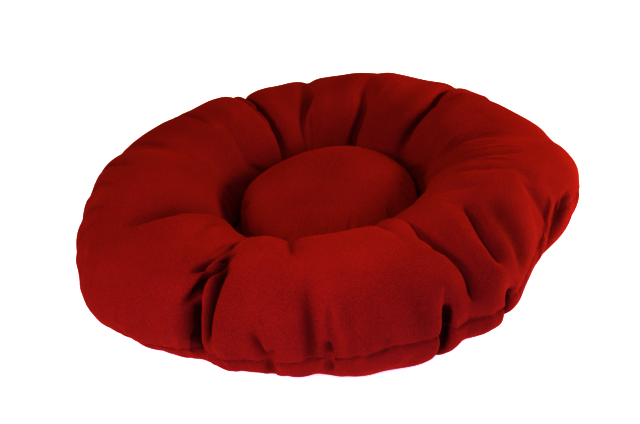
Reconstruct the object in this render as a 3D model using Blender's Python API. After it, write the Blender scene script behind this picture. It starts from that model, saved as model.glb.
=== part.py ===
"""Round pet cushion bed: a stuffed ring on a flat base, with a loose stuffed pad lying in its well.

The origin is on the floor under the middle of the bed, with +X along its slightly longer side and +Z up.
Every fabric panel is a thin shell, and neighbouring pieces keep a small gap, so that each is a solid of its own.
"""

import math

import bmesh
import bpy

# Driving dimensions, in metres.
BED_LENGTH = 0.612  # outside, along X
BED_WIDTH = 0.590  # outside, along Y
RING_HEIGHT = 0.126
WELL_RADIUS = 0.121  # at the inner lip, where the ring leans furthest over the well
PAD_RADIUS = 0.111
PAD_HEIGHT = 0.096  # crown of the pad above the floor
PAD_SHIFT = (0.003, 0.001)  # the pad lies a little off the middle of its well

# The ring's cross-section: four quarter ellipses that meet at its widest point, crest and inner lip.
CREST_SHARE = 0.47  # where the crest lies between the lip, at 0, and the outer edge, at 1
WIDEST_HEIGHT = 0.056
BASE_EDGE = 0.050  # from the outer edge in to where the base leaves the floor
OUTER_SEAM_HEIGHT = 0.046
LIP_HEIGHT = 0.068
LIP_OVERHANG = 0.012  # from the lip out to the inner seam below it

# The pad's cross-section.
PAD_SEAM_HEIGHT = 0.048
PAD_FLAT_RADIUS = 0.062  # of the stretch that lies flat on the well's floor

# Cloth and thread.
FABRIC = 0.0015
GAP = 0.0006  # between neighbouring pieces
SEAM_GAP = 0.0014  # between the edges of two panels, which lean towards each other inside
THREAD_RADIUS = 0.0005
SEAM_ALLOWANCE = 0.007  # the ring's inner edge, turned out under the filling

# Levels at the inner seam, where three layers of fabric lie on each other.
WELL_FLOOR_BOTTOM = FABRIC + GAP
WELL_FLOOR_TOP = WELL_FLOOR_BOTTOM + FABRIC
ALLOWANCE_BOTTOM = WELL_FLOOR_TOP + GAP
ALLOWANCE_TOP = ALLOWANCE_BOTTOM + FABRIC
INNER_SEAM_RADIUS = WELL_RADIUS + LIP_OVERHANG
ALLOWANCE_RADIUS = INNER_SEAM_RADIUS + SEAM_ALLOWANCE

# Each seam is closed by hand along a short arc at the back, where its filling went in.
CLOSING_ANGLE = math.radians(90)
CLOSING_HALF_ARC = math.radians(12)
CLOSING_BREAK = math.radians(1)  # between the machine's thread and the hand's

# How finely the round pieces are divided.
RING_SEGMENTS = 60
PAD_SEGMENTS = 40
ARC_STEPS = 5

RED_COTTON = ("red_cotton", (0.42, 0.012, 0.010), 0.9)
RED_THREAD = ("red_thread", (0.34, 0.010, 0.012), 0.6)
WHITE_FIBRE = ("white_fibre", (0.86, 0.85, 0.82), 1.0)


def clear_scene():
    for obj in list(bpy.data.objects):
        bpy.data.objects.remove(obj)


def material(name, colour, roughness):
    """The named material, made the first time it is asked for."""
    if name in bpy.data.materials:
        return bpy.data.materials[name]
    made = bpy.data.materials.new(name)
    made.use_nodes = True
    shader = made.node_tree.nodes["Principled BSDF"]
    shader.inputs["Base Color"].default_value = (*colour, 1)
    shader.inputs["Roughness"].default_value = roughness
    shader.inputs["Metallic"].default_value = 0
    return made


def add_body(name, location=(0, 0, 0)):
    """An empty that the pieces of one rigid body hang on."""
    empty = bpy.data.objects.new(name, None)
    empty.location = location
    bpy.context.scene.collection.objects.link(empty)
    return empty


def add_piece(name, data, body, finish):
    obj = bpy.data.objects.new(name, data)
    data.materials.append(material(*finish))
    obj.parent = body
    bpy.context.scene.collection.objects.link(obj)
    return obj


def quarter(centre, radii, start, end):
    """Points (radius, height) along an ellipse about centre, from one angle to another in degrees."""
    points = []
    for step in range(ARC_STEPS + 1):
        angle = math.radians(start + (end - start) * step / ARC_STEPS)
        radius = centre[0] + radii[0] * math.cos(angle)
        height = centre[1] + radii[1] * math.sin(angle)
        points.append((radius, height))
    return points


def seam_turn(seam_height, widest_height):
    """How far below the widest point a seam at this height lies on the lower arc, in degrees."""
    return math.degrees(math.asin(1 - seam_height / widest_height))


def outer_radius(angle):
    """The bed's outline, an ellipse, as a distance from the middle."""
    long_half, short_half = BED_LENGTH / 2, BED_WIDTH / 2
    return long_half * short_half / math.hypot(
        short_half * math.cos(angle), long_half * math.sin(angle)
    )


def crest_radius(outer):
    return WELL_RADIUS + CREST_SHARE * (outer - WELL_RADIUS)


def ring_lower_arc(outer, inset, start, end):
    """Between the floor, at -90 degrees, and the widest point, at 0."""
    centre = (outer - BASE_EDGE, WIDEST_HEIGHT)
    return quarter(centre, (BASE_EDGE - inset, WIDEST_HEIGHT - inset), start, end)


def ring_upper_arcs(outer, inset):
    """From the widest point over the crest to the inner lip."""
    crest = crest_radius(outer)
    outside = quarter(
        (crest, WIDEST_HEIGHT),
        (outer - crest - inset, RING_HEIGHT - WIDEST_HEIGHT - inset),
        0,
        90,
    )
    inside = quarter(
        (crest, LIP_HEIGHT),
        (crest - WELL_RADIUS - inset, RING_HEIGHT - LIP_HEIGHT - inset),
        90,
        180,
    )
    return outside + inside[1:]


def ring_inner_arc(inset, bottom):
    """From the lip back down to the inner seam, at height bottom."""
    return quarter(
        (INNER_SEAM_RADIUS, LIP_HEIGHT),
        (LIP_OVERHANG - inset, LIP_HEIGHT - bottom),
        180,
        270,
    )


def ring_top_section(angle):
    """Outside of the top panel: from the outer seam over the crest, down the well and out along the allowance."""
    outer = outer_radius(angle)
    seam = -seam_turn(OUTER_SEAM_HEIGHT + SEAM_GAP / 2, WIDEST_HEIGHT)
    allowance = [(ALLOWANCE_RADIUS, ALLOWANCE_BOTTOM)]
    return (
        ring_lower_arc(outer, 0, seam, 0)
        + ring_upper_arcs(outer, 0)[1:]
        + ring_inner_arc(0, ALLOWANCE_BOTTOM)[1:]
        + allowance
    )


def base_section(angle):
    """Outside of the base panel: from the middle along the floor and up to the outer seam."""
    outer = outer_radius(angle)
    seam = -seam_turn(OUTER_SEAM_HEIGHT - SEAM_GAP / 2, WIDEST_HEIGHT)
    return [(0, 0)] + ring_lower_arc(outer, 0, -90, seam)


def ring_filling_section(angle):
    """The filling: inside the panels all round, with a step over the inner seam's layers and thread."""
    outer = outer_radius(angle)
    inset = FABRIC + GAP
    over_allowance = ALLOWANCE_TOP + 2 * (THREAD_RADIUS + GAP)
    past_allowance = ALLOWANCE_RADIUS + 2 * GAP
    return (
        ring_lower_arc(outer, inset, -90, 0)
        + ring_upper_arcs(outer, inset)[1:]
        + ring_inner_arc(inset, over_allowance)[1:]
        + [(past_allowance, over_allowance), (past_allowance, inset)]
    )


def pad_top_section(_angle):
    """Outside of the pad's top panel: from its seam up to the crown."""
    height = PAD_HEIGHT - PAD_SEAM_HEIGHT - SEAM_GAP / 2
    return quarter((0, PAD_SEAM_HEIGHT + SEAM_GAP / 2), (PAD_RADIUS, height), 0, 90)


def pad_bottom_section(_angle):
    """Outside of the pad's bottom panel: from the middle of the well's floor up to the pad's seam."""
    return [(0, ALLOWANCE_BOTTOM)] + pad_lower_arc(0, PAD_SEAM_HEIGHT - SEAM_GAP / 2)


def pad_lower_arc(inset, seam_height):
    radii = (PAD_RADIUS - PAD_FLAT_RADIUS - inset, seam_height - ALLOWANCE_BOTTOM - inset)
    return quarter((PAD_FLAT_RADIUS, seam_height), radii, -90, 0)


def pad_filling_section(_angle):
    inset = FABRIC + GAP
    crown = quarter(
        (0, PAD_SEAM_HEIGHT),
        (PAD_RADIUS - inset, PAD_HEIGHT - PAD_SEAM_HEIGHT - inset),
        0,
        90,
    )
    return [(0, ALLOWANCE_BOTTOM + inset)] + pad_lower_arc(inset, PAD_SEAM_HEIGHT) + crown[1:]


def swept_mesh(name, section_at, segments, loop=False):
    """A surface with one section for each angle round the Z axis. With loop, each section is a closed one."""
    bm = bmesh.new()
    rows = []
    for segment in range(segments):
        angle = 2 * math.pi * segment / segments
        rows.append(
            [
                bm.verts.new((radius * math.cos(angle), radius * math.sin(angle), height))
                for radius, height in section_at(angle)
            ]
        )
    count = len(rows[0])
    for segment, row in enumerate(rows):
        following = rows[(segment + 1) % segments]
        for here in range(count if loop else count - 1):
            ahead = (here + 1) % count
            bm.faces.new((row[here], following[here], following[ahead], row[ahead]))
    bmesh.ops.remove_doubles(bm, verts=bm.verts, dist=1e-6)  # the points that meet on the axis
    mesh = bpy.data.meshes.new(name)
    bm.to_mesh(mesh)
    bm.free()
    mesh.shade_smooth()
    return mesh


def add_panel(name, section_at, segments, body):
    """A fabric panel: the surface is its outside, and its thickness goes inwards."""
    panel = add_piece(name, swept_mesh(name, section_at, segments), body, RED_COTTON)
    thickness = panel.modifiers.new("Thickness", "SOLIDIFY")
    thickness.thickness = FABRIC
    thickness.offset = -1
    thickness.use_even_offset = True
    return panel


def add_disc(name, radius, bottom, body):
    """A flat round panel."""
    section = [(0, bottom), (radius, bottom)]
    return add_panel(name, lambda _angle: section, RING_SEGMENTS, body)


def add_thread(name, radius_at, height, segments, body, start=0.0, end=2 * math.pi):
    """A thread along a seam, from one angle to another. A whole turn is a closed ring."""
    whole = math.isclose(end - start, 2 * math.pi)
    steps = max(2, round(segments * (end - start) / (2 * math.pi)))
    curve = bpy.data.curves.new(name, "CURVE")
    curve.dimensions = "3D"
    curve.bevel_depth = THREAD_RADIUS
    curve.bevel_resolution = 1
    curve.use_fill_caps = not whole
    line = curve.splines.new("POLY")
    line.use_cyclic_u = whole
    count = steps if whole else steps + 1
    line.points.add(count - 1)
    for index in range(count):
        angle = start + (end - start) * index / steps
        radius = radius_at(angle)
        line.points[index].co = (radius * math.cos(angle), radius * math.sin(angle), height, 1)
    return add_piece(name, curve, body, RED_THREAD)


def add_closed_seam(names, radius_at, height, segments, body):
    """A seam's two threads: the machine's, most of the way round, and the hand's along the closing arc."""
    machine, hand = names
    after = CLOSING_ANGLE + CLOSING_HALF_ARC
    before = CLOSING_ANGLE - CLOSING_HALF_ARC
    rest_end = before + 2 * math.pi - CLOSING_BREAK
    add_thread(machine, radius_at, height, segments, body, after + CLOSING_BREAK, rest_end)
    add_thread(hand, radius_at, height, segments, body, before, after)


def outer_seam_radius(angle):
    """Where the outer seam's thread lies, just outside the two panels' edges."""
    turn = math.radians(seam_turn(OUTER_SEAM_HEIGHT, WIDEST_HEIGHT))
    surface = outer_radius(angle) - BASE_EDGE * (1 - math.cos(turn))
    return surface + THREAD_RADIUS + GAP


def build_bolster():
    """The stuffed ring with its base, which the floor carries."""
    bolster = add_body("bolster")
    add_panel("base_panel", base_section, RING_SEGMENTS, bolster)
    add_disc("well_floor_panel", ALLOWANCE_RADIUS, WELL_FLOOR_BOTTOM, bolster)
    add_panel("ring_top_panel", ring_top_section, RING_SEGMENTS, bolster)
    filling = swept_mesh("ring_filling", ring_filling_section, RING_SEGMENTS, loop=True)
    add_piece("ring_filling", filling, bolster, WHITE_FIBRE)
    add_closed_seam(
        ("outer_seam_thread", "ring_closing_thread"),
        outer_seam_radius,
        OUTER_SEAM_HEIGHT,
        RING_SEGMENTS,
        bolster,
    )
    add_thread(
        "inner_seam_thread",
        lambda _angle: INNER_SEAM_RADIUS - THREAD_RADIUS - 2 * GAP,
        WELL_FLOOR_TOP + GAP + THREAD_RADIUS,
        RING_SEGMENTS,
        bolster,
    )
    add_thread(
        "gathering_thread",
        lambda _angle: INNER_SEAM_RADIUS + SEAM_ALLOWANCE / 2,
        ALLOWANCE_TOP + GAP + THREAD_RADIUS,
        RING_SEGMENTS,
        bolster,
    )


def build_pad():
    """The loose cushion in the well, which lifts straight out."""
    pad = add_body("pad", (*PAD_SHIFT, 0))
    add_panel("pad_bottom_panel", pad_bottom_section, PAD_SEGMENTS, pad)
    add_panel("pad_top_panel", pad_top_section, PAD_SEGMENTS, pad)
    filling = swept_mesh("pad_filling", pad_filling_section, PAD_SEGMENTS)
    add_piece("pad_filling", filling, pad, WHITE_FIBRE)
    add_closed_seam(
        ("pad_seam_thread", "pad_closing_thread"),
        lambda _angle: PAD_RADIUS + THREAD_RADIUS + GAP,
        PAD_SEAM_HEIGHT,
        PAD_SEGMENTS,
        pad,
    )


clear_scene()
build_bolster()
build_pad()
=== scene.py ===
import math

import bpy
import numpy as np
from mathutils import Matrix, Vector


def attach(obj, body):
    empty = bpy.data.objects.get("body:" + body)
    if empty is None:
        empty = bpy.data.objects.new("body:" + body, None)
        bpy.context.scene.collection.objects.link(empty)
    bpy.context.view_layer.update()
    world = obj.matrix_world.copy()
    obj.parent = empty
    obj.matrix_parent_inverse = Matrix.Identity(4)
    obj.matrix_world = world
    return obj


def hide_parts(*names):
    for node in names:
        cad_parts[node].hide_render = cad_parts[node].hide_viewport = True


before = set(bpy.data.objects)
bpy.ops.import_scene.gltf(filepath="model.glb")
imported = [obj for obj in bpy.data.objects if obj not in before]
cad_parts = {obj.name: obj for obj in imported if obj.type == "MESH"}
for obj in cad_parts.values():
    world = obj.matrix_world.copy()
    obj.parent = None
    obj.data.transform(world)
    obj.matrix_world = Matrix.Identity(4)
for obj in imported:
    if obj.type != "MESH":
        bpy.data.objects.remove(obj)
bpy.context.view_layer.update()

# ---------------------------------------------------------------- the ring's measures, in metres
MM = 0.001
# Every 22.5 degrees from +X, in mm: the outline, the crest's height and the lip of the well
OUTLINE = (310, 297, 297, 292, 290, 287, 286, 292, 289, 303, 293, 281, 288, 290, 280, 275)
CREST = (104, 103, 111, 108, 106, 108, 105, 100, 117, 113, 103, 110, 116, 117, 118, 116)
LIP = (115, 118, 121, 120, 113, 106, 106, 113, 118, 117, 121, 126, 122, 119, 117, 115)
# and the height of the cover's share 0, from which the folds are placed
START = (26, 25, 25, 25, 25, 25, 24, 22, 20, 17, 15, 15, 18, 27, 28, 28)
# and the outer seam's share; share 1 is the inner seam
SEAM = (.085, .05, .05, .05, .05, .05, .05, .045, .035, .03, .04, .085, .105, .09, .075, .145)
WIDEST_HEIGHT = 0.056
LIP_HEIGHT = 0.068
BASE_EDGE = 0.050  # from the outline in to where the base leaves the floor
INNER_SEAM = (0.133, 0.008)  # radius and height
CREST_SHARE = 0.47  # where the crest lies between the lip, at 0, and the outline, at 1
CROWN_POWER = 2.25  # of the superellipses over the crest; 2 is an ellipse
BAND_SHARE = 0.1  # the turned-up edge below share 0, from the floor
# How many points go round the ring, across it from seam to seam, and from the floor up to the outer seam
AROUND = 400
ACROSS = 88
BAND = 12
SEAM_ROW = 2 * BAND  # of the refined points

# Radial folds of the ring's cover: depth in mm, half-widths in mm towards smaller and larger angles, and
# sharpness, then the valley's line as (angle in degrees, share of the way across, strength).
FOLDS = (
    # back left: the deep crease, and the notch beside it
    (15, 10, 3, 1.0,
     ((110, .10, 0), (112.5, .28, .8), (112, .44, 1), (112.4, .60, 1), (112.8, .72, .9), (114, .92, .8))),
    (9, 4, 8, 1.1,
     ((90, .24, 0), (89.6, .36, .9), (90.8, .45, 1), (92.8, .52, 1), (94.9, .59, .9), (97.5, .67, .7),
      (98, .85, .3))),
    (5, 4, 9, 1.2,
     ((86, .43, 0), (88, .50, .8), (89.5, .57, 1), (91, .64, 1), (93, .72, .6), (94, .85, 0))),
    (11, 10, 4, 1.1,
     ((71, .38, 0), (69.3, .55, .8), (68.7, .62, 1), (68.7, .70, 1), (70.7, .80, .9), (71, .94, .6))),
    (5, 10, 4, 1.1, ((59, .32, 0), (61.5, .49, 1), (62, .55, .9), (64, .66, 0))),
    (13, 4, 8, 1.0,
     ((47, .22, 0), (45.5, .32, .8), (42, .466, 1), (39.5, .58, 1), (39.1, .67, 1), (38.8, .74, .9),
      (39, .93, .6))),
    (5, 4, 5, 1.1, ((35.5, .39, 0), (37.8, .455, .9), (39.5, .50, .8), (41, .54, 0))),
    # right: the fan
    (4.5, 6, 5, 1.2, ((24, .36, 0), (24, .45, .8), (24.5, .55, 1), (25, .64, .6), (26, .74, 0))),
    (4, 7, 5, 1.2, ((18.5, .38, 0), (17.5, .50, 1), (17.5, .62, 1), (18, .74, .7), (19, .90, .5))),
    (5, 7, 5, 1.2, ((9, .38, 0), (11, .50, 1), (12.5, .64, 1), (12.5, .74, .9), (12, .92, .6))),
    (4, 6, 4, 1.2, ((2, .42, 0), (3, .54, .9), (2.5, .64, 1), (.5, .74, .8), (0, .92, .5))),
    (6, 7, 4, 1.1,
     ((354, .34, 0), (353, .45, .9), (352, .57, 1), (351.5, .64, 1), (350, .74, .9), (348, .92, .7))),
    (4, 7, 4, 1.2,
     ((342, .34, 0), (338, .46, 1), (334, .56, 1), (331, .66, .8), (329, .78, .7), (328, .92, .5))),
    (3, 8, 4, 1.2, ((329, .38, 0), (325, .48, 1), (320, .56, .9), (316, .68, .8), (314, .92, .6))),
    # front right
    (10, 3, 14, 1.0,
     ((316.5, .48, 0), (315.4, .43, .6), (313, .38, 1), (311, .34, 1), (309.6, .29, 1), (309, .25, .8),
      (309, .21, 0))),
    (5, 17, 17, 1.8, ((322, .42, 0), (320, .33, .9), (318.5, .25, 1), (317, .17, .9), (316, .10, 0))),
    (11, 3, 13, 1.0,
     ((299, .15, 0), (299.6, .19, .8), (300.2, .24, 1), (299.6, .31, 1), (298.2, .38, 1), (297.8, .45, .9),
      (298.3, .54, .6), (299, .66, .4), (299, .92, .3))),
    (4, 5, 6, 1.2, ((290, .36, 0), (289, .47, 1), (289.5, .56, 1), (289, .72, .5), (288, .92, .5))),
    (8, 4, 6, 1.2,
     ((292.8, .20, 0), (292.2, .155, .9), (291.6, .10, 1), (291, .04, 1), (290.4, -.02, .8),
      (290, -.1, .4))),
    (6, 4, 12, 1.2,
     ((344, .22, 0), (342, .18, .8), (338.5, .14, 1), (336, .10, 1), (334, .05, .8), (333, 0, .3),
      (333, -.08, 0))),
    (7, 6, 8, 1.2, ((310, .15, 0), (309.8, .11, 1), (309.5, .06, 1), (309.8, 0, .8), (310, -.1, .4))),
    # front
    (3.5, 5, 7, 1.2, ((261, .44, 0), (259, .51, .8), (257, .56, 1), (254.5, .64, 1), (254, .92, .6))),
    # front left, under the crow's foot
    (5, 12, 9, 1.8,
     ((238, .02, 0), (239, .10, .8), (239, .25, 1), (237, .38, 1), (234.5, .50, 1), (235, .65, 1),
      (238, .92, .6))),
    # left
    (6, 13, 4, 1.0,
     ((205, .38, 0), (206, .44, .6), (207, .50, .8), (208, .56, 1), (207, .64, 1), (204, .74, 1),
      (203, .93, .8))),
    (4, 9, 6, 1.3,
     ((132, .36, 0), (134, .45, .8), (136, .56, 1), (138, .66, 1), (139, .72, .7), (142, .92, .5))),
    (3, 6, 6, 1.4, ((353, .19, 0), (352, .12, .9), (351.5, .07, 1), (351, -.1, .2))),
    # lower edge, towards the back
    (2.5, 8, 5, 1.2, ((220, .14, 0), (220, .08, 1), (220, -.1, .3))),
    (5, 7, 9, 1.2, ((176, .24, 0), (176, .12, 1), (175, -.1, .3))),
    (4, 6, 6, 1.2, ((158, .20, 0), (158, .10, 1), (158, -.1, .3))),
    (8, 8, 5, 1.1, ((140, .28, 0), (139, .15, 1), (139, -.1, .3))),
    (5, 6, 6, 1.2, ((123, .20, 0), (123, .10, 1), (123, -.1, .3))),
    (8, 5, 9, 1.1, ((105, .30, 0), (105, .14, 1), (104, -.1, .3))),
    (5, 6, 6, 1.2, ((84, .22, 0), (84, .10, 1), (84, -.1, .3))),
    (8, 8, 4, 1.1, ((66, .30, 0), (66, .15, 1), (66, -.1, .3))),
    (5, 6, 6, 1.2, ((51, .20, 0), (51, .08, 1), (51, -.1, .3))),
    (8, 8, 6, 1.1, ((31, .28, 0), (31, .12, 1), (31, -.1, .3))),
    (6, 5, 7, 1.1, ((12, .24, 0), (12, .10, 1), (12, -.1, .3))),
)
# Smaller dents and ridges pressed into the swollen cover, written the same way; a ridge's depth is negative.
DENTS = (
    # the crow's foot: four leaf-shaped hollows and the thin ridges between them
    (12, 3.6, 6.5, 2.0,
     ((240, .60, 0), (238.9, .545, .6), (237.9, .49, 1), (236.6, .445, 1), (234.6, .395, .6),
      (232.9, .345, 0))),
    (13, 4.2, 6.5, 2.0,
     ((242, .52, 0), (241.3, .464, .6), (240.4, .415, 1), (238.9, .365, 1), (236.9, .315, .9),
      (235.6, .28, .6), (234.4, .24, 0))),
    (17, 3.4, 7.0, 1.8,
     ((242.6, .45, 0), (242.5, .40, .7), (242.3, .34, 1), (242.1, .29, 1), (241.8, .23, 1),
      (241.5, .165, .7), (241.3, .11, 0))),
    (16, 12, 3.3, 1.6,
     ((239.4, .29, 0), (239.1, .25, .7), (238.9, .20, 1), (238.7, .15, 1), (238.3, .10, .8),
      (238.2, .06, .3), (238, .03, 0))),
    (-2.0, 1.8, 1.8, 1.7,
     ((242.4, .58, 0), (242.0, .53, .8), (241.4, .45, 1), (240.5, .38, 1), (240.2, .30, 1), (240.2, .22, 1),
      (240.2, .15, 1), (239.9, .09, .8), (239.7, .03, 0))),
    (-0.9, 1.6, 1.6, 1.7,
     ((241.2, .58, 0), (240.4, .53, .8), (239.4, .47, 1), (238, .42, 1), (236.2, .36, .7),
      (234.6, .31, 0))),
    # front: a soft upright fold, and the puckers at the seam
    (6, 4.5, 6, 1.6,
     ((264.4, .38, 0), (264.2, .31, .5), (264.1, .25, .8), (264.1, .17, 1), (263.8, .125, .9),
      (263.6, .09, 0))),
    (5, 4, 4, 1.6, ((252.3, .225, 0), (252.8, .18, .7), (254, .145, 1), (254.8, .12, .6), (255.1, .10, 0))),
    (3.5, 4, 4, 1.6, ((257, .165, 0), (256.5, .145, 1), (255.8, .12, .5), (255.4, .10, 0))),
    (6, 4.5, 4.5, 1.8, ((267.4, .185, 0), (267.6, .155, 1), (267.8, .125, .8), (267.9, .105, 0))),
    (4.5, 4.5, 4.5, 1.8, ((254.9, .095, 0), (254.8, .065, 1), (254.6, .03, .6), (254.6, -.03, 0))),
    (4.5, 4.5, 4.5, 1.8, ((267.7, .10, 0), (267.6, .07, 1), (267.5, .03, .6), (267.5, -.03, 0))),
    (2.0, 3, 3, 1.3, ((280, .17, 0), (279.5, .14, 1), (279, .11, 1), (278.7, .09, 0))),
    (1.8, 9, 9, 1.8, ((272, .34, 0), (272.5, .24, 1), (273, .14, 1), (273, .10, 0))),
    (1.8, 8, 8, 1.8, ((285, .30, 0), (286, .22, 1), (287, .14, 1), (287, .10, 0))),
    # front right: the pocket holes and the ridge beside the outer one
    (12, 5.0, 6.0, 2.4,
     ((292.6, .20, 0), (292.2, .16, .8), (291.9, .11, 1), (291.5, .06, 1), (290.8, 0, .9),
      (290.4, -.06, .6), (290.2, -.09, 0))),
    (13, 7.5, 7.0, 2.4,
     ((309.6, .12, 0), (309.4, .10, .8), (309.5, .08, 1), (309.5, .04, 1), (309.8, -.01, .8),
      (310, -.07, 0))),
    (7.5, 4.0, 14.0, 2.4,
     ((345.4, .20, 0), (344, .165, .8), (341, .135, 1), (338.4, .105, 1), (336.4, .07, .8), (335, .03, .3),
      (334.6, 0, 0))),
    (6.5, 3.0, 4.5, 1.8,
     ((343.2, .20, 0), (341.6, .165, .8), (338.6, .135, 1), (336.2, .105, 1), (334.6, .07, .9),
      (333.4, .03, .6), (332.8, 0, 0))),
    (-4.0, 3.6, 2.6, 1.6,
     ((341.5, .235, 0), (338.6, .20, 1), (335.4, .168, 1), (332.6, .138, 1), (329.6, .105, 1),
      (327.6, .08, .8), (326, .04, 0))),
    (4.5, 1.6, 8, 1.3,
     ((299, .15, 0), (299.6, .19, .7), (300.3, .24, 1), (299.7, .31, 1), (298, .38, 1), (297.5, .45, .7),
      (298.3, .53, 0))),
    (5, 1.6, 8, 1.3,
     ((309.6, .21, 0), (309, .25, .7), (309.6, .30, 1), (311.4, .355, 1), (314.6, .415, .8),
      (316, .46, 0))),
    (4.5, 15, 15, 2.0,
     ((322, .42, 0), (320.3, .34, .8), (318.5, .26, 1), (317.4, .18, .9), (316.5, .11, 0))),
    (2, 3, 3, 1.4, ((289.3, .50, 0), (289.5, .57, 1), (289, .64, 1), (288.5, .72, 0))),
    (2.5, 4, 4, 1.6, ((352.4, .13, 0), (352, .105, 1), (351.4, .08, 1), (351, .05, 0))),
    # the notch in the near rim, and the fuller cover beside it
    (4.0, 3, 5, 1.4,
     ((260.5, .45, 0), (259, .51, .8), (257.4, .575, 1), (256, .66, 1), (255, .80, .6), (254.5, .92, 0))),
    (-2.5, 12, 12, 1.8, ((249, .42, 0), (248, .52, 1), (247, .62, 1), (247, .72, 0))),
    # left: the long fold's crisp lower bank
    (7, 11, 2.5, 1.3,
     ((206, .36, 0), (207, .42, .6), (207.8, .48, 1), (208.2, .56, 1), (208.8, .63, 1), (208, .70, .9),
      (205, .80, .5), (203, .88, 0))),
    (2.5, 6, 6, 1.6, ((225, .50, 0), (223, .57, .8), (220, .64, 1), (217, .70, .6), (215, .76, 0))),
    # back: the valleys' beds, dark from their depth and from the painted shade of their dents, and thin
    # ridges beside them
    (5, 4.5, 2, 1.4,
     ((111, .16, 0), (112, .28, .8), (112, .44, 1), (112.4, .60, 1), (112.8, .72, .9), (114, .86, 0))),
    (4, 2, 5, 1.4,
     ((89.6, .36, 0), (90.8, .45, .8), (92.8, .52, 1), (94.9, .59, .9), (97.5, .67, .6), (98, .80, 0))),
    (4, 5, 2, 1.4, ((69.3, .52, 0), (68.7, .62, .9), (68.7, .70, 1), (70.7, .80, .8), (71, .92, 0))),
    (5, 2, 4.5, 1.4,
     ((46.5, .25, 0), (45.5, .32, .7), (42, .466, 1), (39.5, .58, 1), (39.1, .67, 1), (38.8, .74, .8),
      (39, .88, 0))),
    (-1.6, 2.5, 2.5, 1.5,
     ((71.5, .58, 0), (71.6, .63, 1), (71.4, .70, 1), (73.5, .76, .5), (74.6, .80, 0))),
    (-1.5, 2.5, 2.5, 1.5, ((88.4, .45, 0), (89, .49, 1), (91.3, .55, 1), (92.6, .62, .8), (94.9, .69, 0))),
    # left edge: shallow wrinkles that run in from the seam
    (3.5, 4, 8, 1.3, ((136.5, .28, 0), (136, .38, 1), (137, .46, .7), (139, .54, 0))),
    (3.5, 4, 8, 1.3, ((154.5, .22, 0), (154, .34, 1), (155, .42, .7), (156.4, .50, 0))),
    (3.5, 4, 7, 1.3, ((167, .18, 0), (167.7, .28, 1), (172, .38, .7), (178, .45, 0))),
    (3.5, 4, 7, 1.3, ((179.5, .18, 0), (180.2, .28, 1), (184, .36, .6), (190, .42, 0))),
    (3, 4, 7, 1.3, ((190, .19, 0), (190.9, .285, 1), (194, .34, .6), (198, .39, 0))),
    (3, 4, 6, 1.3, ((195.5, .13, 0), (195.7, .21, 1), (198, .29, .6), (201, .36, 0))),
    # right: fine lines of the fan
    (-2.2, 2.2, 2.2, 1.4, ((5, .40, 0), (6, .50, 1), (6.5, .60, 1), (6, .74, .8), (5, .88, 0))),
    (-2.2, 2.2, 2.2, 1.4, ((357, .36, 0), (358, .48, 1), (358, .60, 1), (356, .74, .8), (355, .88, 0))),
    (-2.4, 2.2, 2.2, 1.4, ((347, .36, 0), (346, .46, 1), (344, .58, 1), (341, .70, .8), (339, .86, 0))),
    (-2.2, 2.2, 2.2, 1.4, ((15, .40, 0), (15, .50, 1), (15.5, .60, .8), (16, .72, 0))),
    (-2.0, 2.2, 2.2, 1.4, ((21, .40, 0), (21, .50, 1), (21.5, .60, .8), (22, .72, 0))),
    (-2.2, 2.4, 2.4, 1.4, ((29, .42, 0), (29, .52, 1), (30, .60, .8), (31, .70, 0))),
)
# Where the columns of points stand closer: angle in degrees, spread in degrees, and how much closer.
CLOSER = (
    (240, 7, 2.6), (299, 4, .8), (311, 6, .8), (291.5, 2.5, 1.2), (335, 8, .8), (114, 5, .8), (38, 6, .8),
    (69, 3, .8), (92, 5, .8), (255, 2, 1), (268, 2, 1), (204, 4, .5), (0, 22, .4),
)
# Where a pucker draws the outer seam up: angle in degrees, mm, spread in degrees.
PUCKERS = ((255, 6, 1.3), (267.7, 5, 1.3), (240, 3, 2), (291.5, 5, 2), (309.5, 4, 2))
# What the swollen cover still lacks: angle and spread in degrees, then mm outwards and mm upwards.
TRIMS = (
    (8, 5, -6, -5), (45, 4, 0, 3), (55, 5, 0, -4.5), (76, 5, 0, 3.5), (92, 2.6, 0, -6), (101, 4.5, 0, -4),
    (116, 2.2, 0, -8), (132, 3, 0, -2), (158, 3, -2, -3), (167, 4, 3, 0), (187.5, 3.5, -5, 0),
    (196, 4, -3, 0), (213, 6, 5, 0), (223, 4, 4, 0), (237, 2.5, -4, 0), (245, 3, 5, 0), (265, 3, -6, 0),
    (275, 3, 3, 0), (287, 5, 3.5, 0), (299, 3.5, -9, 0), (308, 2, 2, 0), (344, 6, 4, 0), (353, 3, 2, 0),
)
# Where the cover lies calmer than the swelling leaves it: angle, spread, share, spread, times it is evened.
CALM = (
    (0, 400, .5, 2, 2), (348, 12, .16, .22, 22), (15, 12, .10, .22, 12), (284, 6, .3, .12, 6),
    (270, 16, .45, .12, 6), (310.5, 4.5, .175, .06, 14), (325, 8, .05, .14, 16),
)
DEEP_FOLD = 8  # mm: a fold this deep or deeper is held while the cover swells
HOLD = 0.3  # how firmly its valley stays
HOLD_REACH = 2.5  # mm to each side of the valley
SHADED_DENT = 0.010  # a dent of this depth or more gets the full painted shade
WELL_SHADE = 0.18  # how much of that painted shade the well's wall gets
RING_SWELL = {"pressure": 70, "steps": 14, "tension": 15, "bending": 15, "growth": 0.06, "cap": 0.016}


def around(values, angles):
    """Values given at equal angles, joined by a smooth curve all the way round."""
    values = np.asarray(values, float)
    spectrum = np.fft.rfft(values) / len(values)
    curve = np.full_like(angles, spectrum[0].real)
    for k in range(1, len(spectrum)):
        weight = 1.0 if 2 * k == len(values) else 2.0
        curve += weight * (spectrum[k].real * np.cos(k * angles) - spectrum[k].imag * np.sin(k * angles))
    return curve


def column(v):
    return np.asarray(v, float).reshape(-1, 1)


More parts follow.
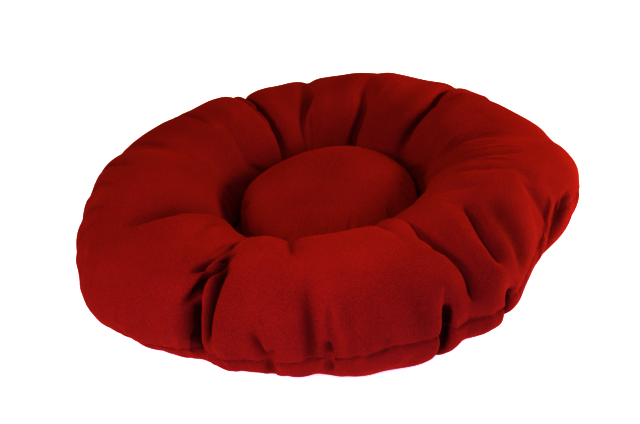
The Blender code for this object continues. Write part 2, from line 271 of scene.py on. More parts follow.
def arc(start, end, power, count=40):
    """Cosines and sines of a superellipse's quarter, one row for each start and end, in degrees."""
    start, end = column(start), column(end)
    turn = np.radians(start + (end - start) * np.linspace(0, 1, count))
    c, s = np.cos(turn), np.sin(turn)
    return np.sign(c) * np.abs(c) ** (2 / power), np.sign(s) * np.abs(s) ** (2 / power)


def resampled(r, z, shares):
    """Each row of (r, z) points, taken again at the given shares of its length."""
    out_r, out_z = np.empty((len(r), len(shares))), np.empty((len(r), len(shares)))
    for i in range(len(r)):
        length = np.concatenate(([0], np.cumsum(np.hypot(np.diff(r[i]), np.diff(z[i])))))
        out_r[i] = np.interp(shares, length / length[-1], r[i])
        out_z[i] = np.interp(shares, length / length[-1], z[i])
    return out_r, out_z


def column_angles():
    """AROUND angles, closer together near the finer folds."""
    fine = np.linspace(0, 360, 7201)
    density = np.ones_like(fine)
    for centre, spread, extra in CLOSER:
        density += extra * np.exp(-((((fine - centre + 180) % 360) - 180) / spread) ** 2)
    total = np.concatenate(([0], np.cumsum((density[1:] + density[:-1]) / 2)))
    return np.radians(np.interp(np.arange(AROUND) / AROUND * total[-1], total, fine))


def ring_surface():
    """Points of the smooth ring, (AROUND, rows, 3), their angles and their shares of the way across.
    Row 0 lies on the floor, row BAND on the outer seam and the last row on the inner seam."""
    angles = column_angles()
    outer = column(around(OUTLINE, angles) * MM)
    crest = column(around(CREST, angles) * MM)
    lip = column(around(LIP, angles) * MM)
    top = lip + CREST_SHARE * (outer - lip)
    start_turn = -np.degrees(np.arcsin(1 - column(around(START, angles) * MM) / WIDEST_HEIGHT))
    one = np.ones_like(outer)
    pieces = []
    c, s = arc(start_turn, 0 * one, 2)
    pieces.append((outer - BASE_EDGE + BASE_EDGE * c, WIDEST_HEIGHT * (1 + s)))
    c, s = arc(0, 90, CROWN_POWER)
    pieces.append((top + (outer - top) * c, WIDEST_HEIGHT + (crest - WIDEST_HEIGHT) * s))
    c, s = arc(90, 180, CROWN_POWER)
    pieces.append((top + (top - lip) * c, LIP_HEIGHT + (crest - LIP_HEIGHT) * s))
    c, s = arc(180, 270, 2)
    inner_radius, inner_height = INNER_SEAM
    inner_wall = (LIP_HEIGHT + (LIP_HEIGHT - inner_height) * s) * one
    pieces.append((inner_radius + (inner_radius - lip) * c, inner_wall))
    cover_r, cover_z = (np.concatenate([pieces[0][k]] + [p[k][:, 1:] for p in pieces[1:]], 1) for k in (0, 1))
    fine_cover = np.linspace(0, 1, 4 * ACROSS + 1)
    cover_r, cover_z = resampled(cover_r, cover_z, fine_cover)
    c, s = arc(-90 * one, start_turn, 2)
    fine_band = np.linspace(0, 1, 4 * BAND + 1)
    band_r, band_z = resampled(outer - BASE_EDGE + BASE_EDGE * c, WIDEST_HEIGHT * (1 + s), fine_band)
    known = np.concatenate([np.linspace(-BAND_SHARE, 0, 4 * BAND + 1)[:-1], fine_cover])
    r = np.concatenate([band_r[:, :-1], cover_r], 1)
    z = np.concatenate([band_z[:, :-1], cover_z], 1)
    # the rows below the outer seam, then those above it
    seam = column(around(SEAM, angles))
    below = -BAND_SHARE + (seam + BAND_SHARE) * np.linspace(0, 1, BAND + 1)[None, :-1]
    above = seam + (1 - seam) * np.linspace(0, 1, ACROSS + 1)[None]
    shares = np.concatenate([below, above], 1)
    r, z = (np.stack([np.interp(shares[i], known, v[i]) for i in range(len(v))]) for v in (r, z))
    points = np.stack([r * np.cos(angles)[:, None], r * np.sin(angles)[:, None], z], -1)
    return points, angles, shares


def normals_of(points):
    across_ring = np.roll(points, -1, 0) - np.roll(points, 1, 0)
    normal = np.cross(across_ring, np.gradient(points, axis=1))
    return normal / (np.linalg.norm(normal, axis=2, keepdims=True) + 1e-12)


def fold_field(table, points, angles, shares):
    """How far each point sinks into the table's folds, and how firmly a fold's valley holds it."""
    radius = np.hypot(points[..., 0], points[..., 1])
    sink = np.zeros(radius.shape)
    hold = np.zeros(radius.shape)
    for depth, before, after, sharpness, line in table:
        line = sorted(line, key=lambda p: p[1])
        at = np.array([p[1] for p in line])
        bearing = np.unwrap(np.radians([p[0] for p in line]))
        centre = sum(np.interp(shares + step, at, bearing) for step in (-.03, -.015, 0, .015, .03)) / 5
        strength = np.interp(shares, at, [p[2] for p in line])
        strength = strength * strength * (3 - 2 * strength)
        turn = (angles[:, None] - centre + np.pi) % (2 * np.pi) - np.pi
        x = turn * radius / MM
        width = np.where(x < 0, before, after)
        valley = np.exp(-(np.abs(x) / width) ** sharpness)
        sink += depth * MM * strength * valley
        if depth >= DEEP_FOLD:
            hold = np.maximum(hold, HOLD * strength * np.exp(-(x / HOLD_REACH) ** 2))
    return sink, hold


def mesh_object(name, points, faces):
    mesh = bpy.data.meshes.new(name)
    mesh.from_pydata(points.reshape(-1, 3).tolist(), [], faces)
    mesh.shade_smooth()
    obj = bpy.data.objects.new(name, mesh)
    bpy.context.scene.collection.objects.link(obj)
    return obj


def grid_object(name, points, first_cap=True, last_cap=True):
    """A mesh of rows that run all the way round; the caps fill its first row and its last."""
    index = np.arange(points.shape[0] * points.shape[1]).reshape(points.shape[:2])
    following = np.roll(index, -1, 0)
    corners = [index[:, :-1], following[:, :-1], following[:, 1:], index[:, 1:]]
    faces = np.stack(corners, -1).reshape(-1, 4).tolist()
    if first_cap:
        faces.append(index[::-1, 0].tolist())
    if last_cap:
        faces.append(index[:, -1].tolist())
    return mesh_object(name, points, faces)


def point_values(obj, name, values):
    """Stores one number for each of the mesh's points, for its material to read."""
    attribute = obj.data.attributes.new(name, "FLOAT", "POINT")
    attribute.data.foreach_set("value", np.asarray(values, np.float32).ravel())


def refined(points):
    """The grid with a new point between every two, on the smooth curve through four neighbours, both ways."""
    n, m = points.shape[:2]
    near = points + np.roll(points, -1, 0)
    far = np.roll(points, 1, 0) + np.roll(points, -2, 0)
    out = np.empty((2 * n, m, 3))
    out[0::2], out[1::2] = points, (9 * near - far) / 16
    padded = np.concatenate([2 * out[:, :1] - out[:, 1:2], out, 2 * out[:, -1:] - out[:, -2:-1]], 1)
    between = (9 * (padded[:, 1:-2] + padded[:, 2:-1]) - (padded[:, :-3] + padded[:, 3:])) / 16
    fine = np.empty((2 * n, 2 * m - 1, 3))
    fine[:, 0::2], fine[:, 1::2] = out, between
    return fine


def coordinates(obj):
    co = np.empty(len(obj.data.vertices) * 3)
    obj.data.vertices.foreach_get("co", co)
    return co.reshape(-1, 3)


def simulate(obj, hold, pressure, steps, tension, bending, growth, cap):
    """Inflates obj as cloth cut larger than its shape by growth, and moves no point further than cap.
    hold is how firmly each point stays. Returns the points."""
    start = coordinates(obj)
    group = obj.vertex_groups.new(name="hold")
    levels = np.round(np.clip(hold, 0, 1).ravel(), 2)
    for level in np.unique(levels):
        if level > 0:
            group.add(np.nonzero(levels == level)[0].tolist(), float(level), "REPLACE")
    cloth = obj.modifiers.new("Cloth", "CLOTH")
    s = cloth.settings
    s.quality = 6
    s.mass = 0.3
    s.tension_stiffness = s.compression_stiffness = tension
    s.shear_stiffness = tension / 3
    s.bending_stiffness = bending
    s.shrink_min = -growth
    s.use_pressure = True
    s.uniform_pressure_force = pressure
    s.vertex_group_mass = "hold"
    s.pin_stiffness = 1
    s.effector_weights.gravity = 0
    cloth.collision_settings.use_collision = False
    cloth.collision_settings.use_self_collision = False
    scene = bpy.context.scene
    cloth.point_cache.frame_start, cloth.point_cache.frame_end = 1, steps
    for step in range(1, steps + 1):
        scene.frame_set(step)
    graph = bpy.context.evaluated_depsgraph_get()
    co = coordinates(obj.evaluated_get(graph))
    obj.modifiers.remove(cloth)
    obj.vertex_groups.clear()
    scene.frame_set(1)
    move = co - start
    far = np.linalg.norm(move, axis=1)
    return start + move * np.minimum(1, cap / np.maximum(far, 1e-9))[:, None]


def swollen(name, points, hold, closed, settings):
    """The grid of points as the swelling leaves it; closed says whether the swollen mesh has caps."""
    obj = grid_object(name, points, first_cap=closed, last_cap=closed)
    shape = simulate(obj, hold, **settings).reshape(points.shape)
    bpy.data.objects.remove(obj)
    return shape


# ---------------------------------------------------------------- materials
def new_material(name, colour, roughness):
    material = bpy.data.materials.new(name)
    material.use_nodes = True
    shader = material.node_tree.nodes["Principled BSDF"]
    shader.inputs["Base Color"].default_value = (*colour, 1)
    shader.inputs["Roughness"].default_value = roughness
    return material, shader


def cotton(name, dark, light):
    """Brushed cotton twill: uneven dye and nap between the two colours, and painted shade where the mesh's
    attribute asks for it, darker in the dents and on the well's wall.
    """
    material, shader = new_material(name, light, 0.95)
    nodes, links = material.node_tree.nodes, material.node_tree.links
    shader.inputs["Specular IOR Level"].default_value = 0.03
    shader.inputs["Sheen Weight"].default_value = 0.35
    shader.inputs["Sheen Roughness"].default_value = 0.45
    shader.inputs["Sheen Tint"].default_value = (0.5, 0.017, 0.014, 1)
    where = nodes.new("ShaderNodeTexCoord")

    def noise(scale, detail, rough):
        texture = nodes.new("ShaderNodeTexNoise")
        texture.inputs["Scale"].default_value = scale
        texture.inputs["Detail"].default_value = detail
        texture.inputs["Roughness"].default_value = rough
        links.new(where.outputs["Object"], texture.inputs["Vector"])
        return texture.outputs["Fac"]

    def times(value, factor):
        product = nodes.new("ShaderNodeMath")
        product.operation = "MULTIPLY"
        links.new(value, product.inputs[0])
        product.inputs[1].default_value = factor
        return product.outputs[0]

    def mixed(share, first, second):
        mix = nodes.new("ShaderNodeMix")
        mix.data_type = "RGBA"
        links.new(share, mix.inputs["Factor"])
        if isinstance(first, tuple):
            mix.inputs["A"].default_value = (*first, 1)
        else:
            links.new(first, mix.inputs["A"])
        mix.inputs["B"].default_value = (*second, 1)
        return mix.outputs["Result"]

    def bump(height, strength, distance, below=None):
        relief = nodes.new("ShaderNodeBump")
        relief.inputs["Strength"].default_value = strength
        relief.inputs["Distance"].default_value = distance
        links.new(height, relief.inputs["Height"])
        if below:
            links.new(below, relief.inputs["Normal"])
        return relief.outputs["Normal"]

    # colour: fibres over broad blotches
    tone = nodes.new("ShaderNodeMath")
    tone.operation = "MULTIPLY_ADD"
    links.new(noise(900, 3, 0.7), tone.inputs[0])
    tone.inputs[1].default_value = 1.6
    links.new(times(noise(14, 3, 0.5), 0.45), tone.inputs[2])
    ramp = nodes.new("ShaderNodeMapRange")
    links.new(tone.outputs[0], ramp.inputs["Value"])
    ramp.inputs["From Min"].default_value = 0.70
    ramp.inputs["From Max"].default_value = 1.35
    colour = mixed(ramp.outputs["Result"], dark, light)
    # painted shade: the colour darkens towards a near-black red where the mesh's attribute says, in the dents
    # and on the well's wall
    painted_shade = nodes.new("ShaderNodeAttribute")
    painted_shade.attribute_name = "painted_shade"
    painted_shade_colour = (dark[0] * 0.12, dark[1] * 0.2, dark[2] * 0.2)
    links.new(mixed(times(painted_shade.outputs["Fac"], 0.85), colour, painted_shade_colour), shader.inputs["Base Color"])
    # relief: fine twill and the nap over it
    twill = nodes.new("ShaderNodeTexWave")
    twill.wave_type = "BANDS"
    twill.bands_direction = "DIAGONAL"
    links.new(where.outputs["Object"], twill.inputs["Vector"])
    twill.inputs["Scale"].default_value = 260
    twill.inputs["Distortion"].default_value = 2.5
    twill.inputs["Detail"].default_value = 2
    weave = bump(twill.outputs["Fac"], 0.25, 0.0004)
    links.new(bump(noise(420, 4, 0.65), 0.8, 0.0008, weave), shader.inputs["Normal"])
    return material


RED = cotton("red_cotton_napped", (0.20, 0.0100, 0.0064), (0.41, 0.0268, 0.0165))


# ---------------------------------------------------------------- the ring
def halved(values, whole_turn=False):
    """Values with their means put between them: round the ring, and across it when there are rows."""
    following = np.roll(values, -1, 0)
    if whole_turn:
        following[-1] += 2 * np.pi  # angles that go on past the first
    out = np.empty((2 * len(values),) + values.shape[1:])
    out[0::2], out[1::2] = values, (values + following) / 2
    if values.ndim == 1:
        return out
    fine = np.empty((len(out), 2 * values.shape[1] - 1))
    fine[:, 0::2], fine[:, 1::2] = out, (out[:, 1:] + out[:, :-1]) / 2
    return fine


def ripple(points, angles, distance, reach, height, count, seed):
    """Fine puckers along a seam: a wave of uneven length that fades with the distance from it."""
    rng = np.random.default_rng(seed)
    phase = angles * count
    for k in range(3, 24):
        phase = phase + rng.uniform(-1, 1) * 3 / k * np.sin(k * angles + rng.uniform(0, 6.3))
    wave = np.sin(phase) + 0.5 * np.sin(2.3 * phase + 1)
    strength = 0.6 + 0.4 * np.sin(5 * angles + rng.uniform(0, 6.3))
    fade = np.exp(-np.abs(distance) / reach)
    return points + normals_of(points) * ((height * wave * strength)[:, None] * fade)[..., None]


def groove(points, row, depth, reach):
    """Draws the rows next to a seam inwards."""
    rows = np.arange(points.shape[1])
    return points - normals_of(points) * (depth * np.exp(-np.abs(rows - row) / reach))[None, :, None]


def evened(points, angles, shares):
    """Takes the small wrinkles out of the cover where it lies calm."""
    for angle, spread, share, reach, times in CALM:
        turn = (np.degrees(angles) - angle + 180) % 360 - 180
        weight = np.exp(-(turn / spread) ** 4)[:, None] * np.exp(-((shares - share) / reach) ** 4)
        near_seam = np.exp(-((shares - shares[:, BAND:BAND + 1]) / .012) ** 2)
        weight = 0.5 * weight * (1 - 0.8 * near_seam)
        weight[:, :2] = weight[:, -6:] = 0  # the rows on the floor and at the inner seam stay
        for _ in range(times):
            rows = np.concatenate([points[:, :1], points, points[:, -1:]], 1)
            mean = (np.roll(points, 1, 0) + np.roll(points, -1, 0) + rows[:, :-2] + rows[:, 2:]) / 4
            points = points + (mean - points) * weight[..., None]
    return points


def trimmed(points, angles, shares):
    """Moves the cover outwards and upwards as TRIMS says."""
    outwards, upwards = np.zeros(len(angles)), np.zeros(len(angles))
    for angle, spread, out, up in TRIMS:
        near = np.exp(-((((np.degrees(angles) - angle + 180) % 360) - 180) / spread) ** 2)
        outwards += out * MM * near
        upwards += up * MM * near
    outer_side = 1 / (1 + np.exp((shares - .48) / .05))
    crown = np.exp(-((shares - .44) / .22) ** 2)
    moved = points.copy()
    radial = points[..., :2] / np.linalg.norm(points[..., :2], axis=2, keepdims=True)
    moved[..., :2] += radial * (outwards[:, None] * outer_side)[..., None]
    moved[..., 2] += upwards[:, None] * crown
    return moved


def folded_ring():
    """The smooth ring with its folds drawn in, its angles and shares, and how firmly each point stays."""
    surface, angles, shares = ring_surface()
    sink, hold = fold_field(FOLDS, surface, angles, shares)
    folded = surface - normals_of(surface) * sink[..., None]
    for angle, rise, spread in PUCKERS:
        near = np.exp(-(((np.degrees(angles) - angle) / spread) ** 2))
        near_seam = np.exp(-(((shares - shares[:, BAND:BAND + 1]) / 0.03) ** 2))
        folded[..., 2] += rise * MM * near[:, None] * near_seam
    # the lower band and the inner seam stay, and the outer seam with its neighbours nearly so
    hold[:, :BAND // 2] = 1
    for step, firmness in enumerate((.5, .25, .12)):
        for row in {BAND - step, BAND + step}:
            hold[:, row] = np.maximum(hold[:, row], firmness)
    hold[:, -6:] = 1
    return folded, angles, shares, hold


def ring_shape():
    """The ring's finished points, from floor to inner seam, and how much painted shade each one gets, from
    its dents and on the well's wall.
    """
    folded, angles, shares, hold = folded_ring()
    shape = swollen("swollen_ring", folded, hold, closed=False, settings=RING_SWELL)
    shape = refined(trimmed(evened(shape, angles, shares), angles, shares))
    angles = halved(angles, whole_turn=True)
    shares = halved(shares)
    dent, _ = fold_field(DENTS, shape, angles, shares)
    # painted shade: full in dents of SHADED_DENT depth and more, and WELL_SHADE of it on the well's wall
    painted_shade = np.maximum(np.clip(dent / SHADED_DENT, 0, 1), WELL_SHADE * np.clip((shares - 0.55) / 0.2, 0, 1))
    shape = shape - normals_of(shape) * dent[..., None]
    from_seam = shares - shares[:, SEAM_ROW:SEAM_ROW + 1]
    shape = ripple(shape, angles, from_seam, reach=.03, height=.00035, count=95, seed=3)
    return groove(shape, SEAM_ROW, depth=.0030, reach=0.9), painted_shade


def to_middle(row, parts, height):
    """Rows that go on from a row of points towards the middle, at the given parts of its radius."""
    flat = np.full((len(row), 1), height)
    return np.stack([np.concatenate([row[:, :2] * part, flat], 1) for part in parts], 1)


def build_ring(shape, painted_shade):
    """One closed skin: underside, turned-up edge, top panel, and the way back under the well's floor."""
    underside = to_middle(shape[:, 0], (0.005, 0.35, 0.7, 0.9), 0.0)
    back = to_middle(shape[:, -1], (0.97, 0.6, 0.3, 0.005), 0.0015)
    points = np.concatenate([underside, shape, back], 1)
    points[..., 2] = np.maximum(points[..., 2], 0)
    ring = grid_object("ring_cushion", points)
    # painted shade, for the material to darken the cover by: none on the underside and the way back
    shade = np.zeros(points.shape[:2])
    shade[:, underside.shape[1]:-back.shape[1]] = painted_shade
    point_values(ring, "painted_shade", shade)
    ring.data.materials.append(RED)
    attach(ring, "bolster")
    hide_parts("ring_top_panel", "ring_filling", "base_panel")


ring_points, ring_painted_shade = ring_shape()
build_ring(ring_points, ring_painted_shade)

# ---------------------------------------------------------------- the pad
PAD_CENTRE = (0.003, 0.001)
# every 22.5 degrees from +X, in mm: the pad is fuller at the back right
PAD_OUTLINE = (110, 114, 116, 116, 106, 98, 101, 107, 107, 108, 107, 107, 107, 107, 108, 109)
PAD_RADIUS = 0.108
PAD_FLAT = 0.052  # radius of the stretch that lies flat on the well's floor
PAD_SEAM = 0.056  # heights of its seam, crown and underside
PAD_CROWN = 0.096
PAD_BOTTOM = 0.0062
PAD_TILT, PAD_TILT_TOWARDS = 0.004, 60  # its edge is this much higher, at this many degrees
PAD_AROUND = 220
PAD_FLAT_ROWS = 7
PAD_ROWS = 60  # near enough, to turn rows into shares of the way across
PAD_SWELL = {"pressure": 40, "steps": 12, "tension": 15, "bending": 8, "growth": 0.015, "cap": 0.006}
PAD_CREASES = (  # depth and half-width in mm, angle in degrees, shares of the radius where it starts and ends
    (1.8, 3.0, 352, .74, 1.0), (1.6, 2.5, 3, .78, 1.0), (1.4, 2.5, 14, .80, 1.0), (1.2, 3.0, 341, .82, 1.0),
    (.8, 3.0, 30, .86, 1.0), (.8, 3.0, 62, .88, 1.0), (.8, 3.5, 104, .88, 1.0), (.8, 3.0, 143, .88, 1.0),
    (.6, 3.5, 186, .90, 1.0), (.6, 3.0, 214, .90, 1.0), (.6, 3.0, 318, .90, 1.0),
)


def pad_surface():
    """Points of the smooth pad, rows from the middle of its underside to its crown, and the seam's row."""
    a = 2 * np.pi * np.arange(PAD_AROUND) / PAD_AROUND
    flat = np.linspace(0.001, PAD_FLAT, PAD_FLAT_ROWS)
    lower = np.radians(np.linspace(-90, 0, 14))[1:]
    upper = np.radians(np.concatenate([np.linspace(0, 50, 16)[1:], np.linspace(50, 89.97, 22)[1:]]))
    r = np.concatenate([
        flat,
        PAD_FLAT + (PAD_RADIUS - PAD_FLAT) * np.cos(lower) ** 0.9,
        PAD_RADIUS * np.cos(upper) ** 0.80,
    ])
    z = np.concatenate([
        np.full(len(flat), PAD_BOTTOM),
        PAD_SEAM + (PAD_SEAM - PAD_BOTTOM) * np.sin(lower),
        PAD_SEAM + (PAD_CROWN - PAD_SEAM) * np.sin(upper) ** 0.95,
    ])
    seam = len(flat) + len(lower) - 1
    # fuller and a little higher at the back right, more so towards the edge
    share_out = np.clip(r / PAD_RADIUS, 0, 1)
    stretch = (around(PAD_OUTLINE, a) * MM / PAD_RADIUS)[:, None]
    radius = r[None, :] * (1 + (stretch - 1) * share_out[None, :] ** 2)
    tilt = np.cos(a - math.radians(PAD_TILT_TOWARDS))[:, None] * share_out[None, :]
    height = z[None, :] + PAD_TILT * tilt * np.clip((z - PAD_BOTTOM) / 0.03, 0, 1)[None, :]
    above_seam = np.arange(len(z)) > seam
    for depth, width, angle, start, end in PAD_CREASES:
        x = ((np.degrees(a) - angle + 180) % 360 - 180)[:, None] * math.pi / 180 * radius / MM
        share = np.clip((share_out - start) / (end - start), 0, 1)[None, :]
        crease = np.exp(-(np.abs(x) / width) ** 1.2) * share * above_seam
        height = height - depth * MM * crease
    x = PAD_CENTRE[0] + radius * np.cos(a)[:, None]
    y = PAD_CENTRE[1] + radius * np.sin(a)[:, None]
    return np.stack([x, y, height], -1), a, seam


def pad_shape():
    """The pad's finished points and the seam's row."""
    points, angles, seam = pad_surface()
    hold = np.zeros(points.shape[:2])
    hold[:, :PAD_FLAT_ROWS] = 1
    hold[:, seam] = 1
    points = swollen("swollen_pad", points, hold, closed=True, settings=PAD_SWELL)
    from_seam = (np.arange(points.shape[1]) - seam)[None, :] / PAD_ROWS
    points = ripple(points, angles, from_seam, reach=.05, height=.0003, count=46, seed=8)
    points = groove(points, seam, depth=.0012, reach=.8)
    points[..., 2] = np.maximum(points[..., 2], PAD_BOTTOM - 0.0005)
    return points, seam


def build_pad(points):
    pad = grid_object("pad_cushion", refined(points))
    pad.data.materials.append(RED)
    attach(pad, "pad")
    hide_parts("pad_top_panel", "pad_bottom_panel", "pad_filling")


pad_points, pad_seam_row = pad_shape()
build_pad(pad_points)


# ---------------------------------------------------------------- stitches
def thread_material():
    """Twisted cotton thread."""
    material, shader = new_material("red_thread_twisted", (0.34, 0.012, 0.010), 0.7)
    nodes, links = material.node_tree.nodes, material.node_tree.links
    where = nodes.new("ShaderNodeTexCoord")
    twist = nodes.new("ShaderNodeTexWave")
    twist.bands_direction = "DIAGONAL"
    twist.inputs["Scale"].default_value = 900
    twist.inputs["Distortion"].default_value = 1.5
    fibre = nodes.new("ShaderNodeTexNoise")
    fibre.inputs["Scale"].default_value = 1600
    bump = nodes.new("ShaderNodeBump")
    bump.inputs["Strength"].default_value = 0.6
    bump.inputs["Distance"].default_value = 0.0003
    tint = nodes.new("ShaderNodeMix")
    tint.data_type = "RGBA"
    tint.inputs["A"].default_value = (0.20, 0.005, 0.004, 1)
    tint.inputs["B"].default_value = (0.42, 0.018, 0.014, 1)
    links.new(where.outputs["Object"], twist.inputs["Vector"])
    links.new(where.outputs["Object"], fibre.inputs["Vector"])
    links.new(twist.outputs["Fac"], bump.inputs["Height"])
    links.new(bump.outputs["Normal"], shader.inputs["Normal"])
    links.new(fibre.outputs["Fac"], tint.inputs["Factor"])
    links.new(tint.outputs["Result"], shader.inputs["Base Color"])
    return material


THREAD = thread_material()
# where the rows of points lie along a stitch, and how thick it is there
STITCH_STATIONS = ((-1, .25), (-.8, .75), (-.4, 1), (.4, 1), (.8, .75), (1, .25))
STITCH_SIDES = 6
STITCH_THICKNESS = 0.0009
CLOSING = (78, 102)  # degrees: the hand-closed stretch of both seams, at the back
MACHINE = {"pitch": .0036, "length": .0030, "slant": 8, "lift": .0002}
HAND = {"pitch": .0042, "length": .0048, "slant": 55, "lift": .0008}


def stitch_faces(first):
    """The faces of one stitch, whose points start at first: its sides, then its two ends."""
    faces = []
    for station in range(len(STITCH_STATIONS) - 1):
        row = first + station * STITCH_SIDES
        for j in range(STITCH_SIDES):
            i = (j + 1) % STITCH_SIDES
            faces.append((row + j, row + i, row + STITCH_SIDES + i, row + STITCH_SIDES + j))
    last = first + (len(STITCH_STATIONS) - 1) * STITCH_SIDES
    faces.append(tuple(first + j for j in reversed(range(STITCH_SIDES))))
    faces.append(tuple(last + j for j in range(STITCH_SIDES)))
    return faces


def stitches(name, body, replaced, path, outward, pitch, length, slant):
    """One small closed body per stitch along a path; slant turns each stitch off the path's direction."""
    step = np.linalg.norm(np.diff(path, axis=0), axis=1)
    along = np.concatenate(([0], np.cumsum(step)))
    centres = np.arange(pitch / 2, along[-1] - pitch / 2, pitch)

    def at(values, distance):
        return np.stack([np.interp(distance, along, values[:, k]) for k in range(3)], -1)

    middle, normal = at(path, centres), at(outward, centres)
    tangent = at(path, centres + length / 2) - at(path, centres - length / 2)
    tangent /= np.linalg.norm(tangent, axis=1, keepdims=True)
    side = np.cross(normal, tangent)
    side /= np.linalg.norm(side, axis=1, keepdims=True)
    normal = np.cross(tangent, side)
    lean = math.radians(slant)
    along_stitch = tangent * math.cos(lean) + side * math.sin(lean)
    across_stitch = side * math.cos(lean) - tangent * math.sin(lean)
    radius = STITCH_THICKNESS / 2
    points = []
    for station, girth in STITCH_STATIONS:
        bow = middle + along_stitch * (station * length / 2) + normal * (radius * (1 - station * station))
        for turn in 2 * np.pi * np.arange(STITCH_SIDES) / STITCH_SIDES:
            out_of_bow = normal * math.cos(turn) + across_stitch * math.sin(turn)
            points.append(bow + out_of_bow * (radius * girth))
    points = np.stack(points, 1)
    faces = [face for k in range(len(centres)) for face in stitch_faces(k * points.shape[1])]
    obj = mesh_object(name, points, faces)
    obj.data.materials.append(THREAD)
    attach(obj, body)
    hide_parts(replaced)


def seam_path(points, row, from_angle, to_angle, lift):
    """A seam row's points and normals between two angles, starting at from_angle."""
    normal = normals_of(points)[:, row]
    line = points[:, row] + normal * lift
    bearing = np.degrees(np.arctan2(line[:, 1], line[:, 0])) % 360
    turned = (bearing - from_angle) % 360
    order = np.argsort(turned)
    order = order[turned[order] <= to_angle - from_angle]
    return line[order], normal[order]


def sew(replaced, body, points, row, first, last, style):
    """A seam's stitches between two angles, in place of the thread of that name."""
    line, outward = seam_path(points, row, first, last, style["lift"])
    name = replaced.replace("thread", "stitches")
    stitches(name, body, replaced, line, outward, style["pitch"], style["length"], style["slant"])


start, end = CLOSING
sew("outer_seam_thread", "bolster", ring_points, SEAM_ROW, end, start + 360, MACHINE)
sew("ring_closing_thread", "bolster", ring_points, SEAM_ROW, start, end, HAND)
sew("pad_seam_thread", "pad", pad_points, pad_seam_row, end, start + 360, MACHINE)
sew("pad_closing_thread", "pad", pad_points, pad_seam_row, start, end, HAND)

# what stays as it is in the CAD
for name in ("well_floor_panel", "inner_seam_thread", "gathering_thread"):
    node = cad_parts[name]
    node.data.materials.clear()
    node.data.materials.append(RED)

# ---------------------------------------------------------------- floor, light and camera
FOOT_SHADE = 7  # mm of painted contact shadow from the ring's footprint out to the glowing paper
# mm from the footprint, and how brightly the paper glows there; the dark stretch by the foot is a painted
# contact shadow
SHEET_STEPS = (
    (-200, 0), (-60, 0), (-10, 0), (FOOT_SHADE, 0.1), (FOOT_SHADE + 6, 0.6), (FOOT_SHADE + 12, 1),
    (60, 1), (300, 1), (40000, 1),
)
FOOT_SMOOTHING = 6  # how many neighbours on each side even out the footprint
PAPER_DROP = 0.0005  # the paper lies this much lower than the underside
# name, azimuth, elevation, distance, size, power, colour
LIGHTS = (
    ("key_right", 6, 17, 1.1, 0.3, 10.4, (1.0, 0.80, 0.32)),
    ("back_high", 72, 44, 1.5, 0.5, 8.0, (1.0, 0.68, 0.32)),
    ("front_high", 264, 50, 0.6, 0.25, 1.25, (1.0, 0.78, 0.76)),
    ("left_front", 198, 32, 1.5, 0.4, 9.2, (1.0, 0.66, 0.30)),
    ("left_high", 206, 61, 1.5, 0.5, 2.0, (1.0, 0.66, 0.42)),
    ("front_low", 275, 20, 1.5, 0.6, 13.0, (0.08, 0.03, 1.0)),
)
LIT_POINT = Vector((0, 0, 0.05))  # what the lights point at
ELEVATION, ROLL, DISTANCE, FOCAL = math.radians(31.7), math.radians(5.3), 1.305, 59.96
AIM = Vector((-0.0071, 0, 0.0465))  # what the camera points at


def paper_material():
    """White paper that glows as brightly as its attribute says: evenly bright away from the ring, and dark
    along its foot as a painted contact shadow.
    """
    paper, shader = new_material("paper", (0.9, 0.9, 0.9), 1)
    shader.inputs["Emission Color"].default_value = (0.94, 0.94, 1, 1)
    nodes, links = paper.node_tree.nodes, paper.node_tree.links
    paper_glow = nodes.new("ShaderNodeAttribute")
    paper_glow.attribute_name = "paper_glow"
    glow = nodes.new("ShaderNodeMath")
    glow.operation = "MULTIPLY"
    glow.inputs[1].default_value = 1.05
    links.new(paper_glow.outputs["Fac"], glow.inputs[0])
    links.new(glow.outputs[0], shader.inputs["Emission Strength"])
    return paper


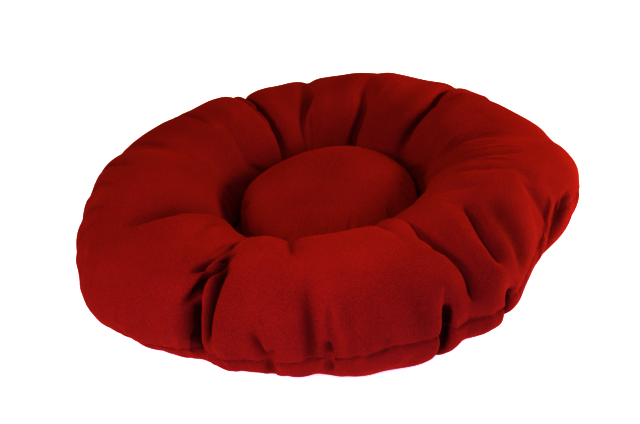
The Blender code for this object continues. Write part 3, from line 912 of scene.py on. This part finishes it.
def lay_floor(lowest):
    """A sheet of paper that glows except under the ring and just beyond its foot: a painted contact shadow,
    of which only a thin dark line shows along its edge.
    lowest is the ring's row of points on the floor."""
    foot = np.linalg.norm(lowest[:, :2], axis=1)
    direction = lowest[:, :2] / foot[:, None]
    neighbours = range(-FOOT_SMOOTHING, FOOT_SMOOTHING + 1)
    foot = sum(np.roll(foot, k) for k in neighbours) / len(neighbours)
    flat = np.full((len(foot), 1), -PAPER_DROP)
    sheet = [np.concatenate([direction * (foot + step * MM)[:, None], flat], 1) for step, _ in SHEET_STEPS]
    floor = grid_object("floor", np.stack(sheet, 1), last_cap=False)
    point_values(floor, "paper_glow", np.tile([value for _, value in SHEET_STEPS], len(foot)))
    floor.data.materials.append(paper_material())


def light_studio():
    world = bpy.data.worlds.new("studio")
    bpy.context.scene.world = world
    world.use_nodes = True
    background = world.node_tree.nodes["Background"]
    background.inputs["Color"].default_value = (1, 1, 1, 1)
    background.inputs["Strength"].default_value = 0.1
    for name, azimuth, elevation, distance, size, power, colour in LIGHTS:
        data = bpy.data.lights.new(name, "AREA")
        data.shape = "DISK"
        data.size = size
        data.energy = power
        data.color = colour
        lamp = bpy.data.objects.new(name, data)
        bpy.context.scene.collection.objects.link(lamp)
        turn, rise = math.radians(azimuth), math.radians(elevation)
        flat = math.cos(rise)
        lamp.location = distance * Vector((math.cos(turn) * flat, math.sin(turn) * flat, math.sin(rise)))
        lamp.rotation_euler = (LIT_POINT - lamp.location).to_track_quat("-Z", "Y").to_euler()
    bpy.context.scene.view_settings.view_transform = "Standard"
    bpy.context.scene.view_settings.gamma = 0.66  # the deeper contrast of a camera's picture


def place_camera():
    data = bpy.data.cameras.new("camera")
    data.sensor_width = 36
    data.lens = FOCAL
    camera = bpy.data.objects.new("camera", data)
    bpy.context.scene.collection.objects.link(camera)
    camera.location = AIM + DISTANCE * Vector((0, -math.cos(ELEVATION), math.sin(ELEVATION)))
    turn = Matrix.Rotation(math.pi / 2 - ELEVATION, 3, "X") @ Matrix.Rotation(-ROLL, 3, "Z")
    camera.rotation_euler = turn.to_euler()
    bpy.context.scene.camera = camera


lay_floor(ring_points[:, 0])
light_studio()
place_camera()

bpy.context.view_layer.update()
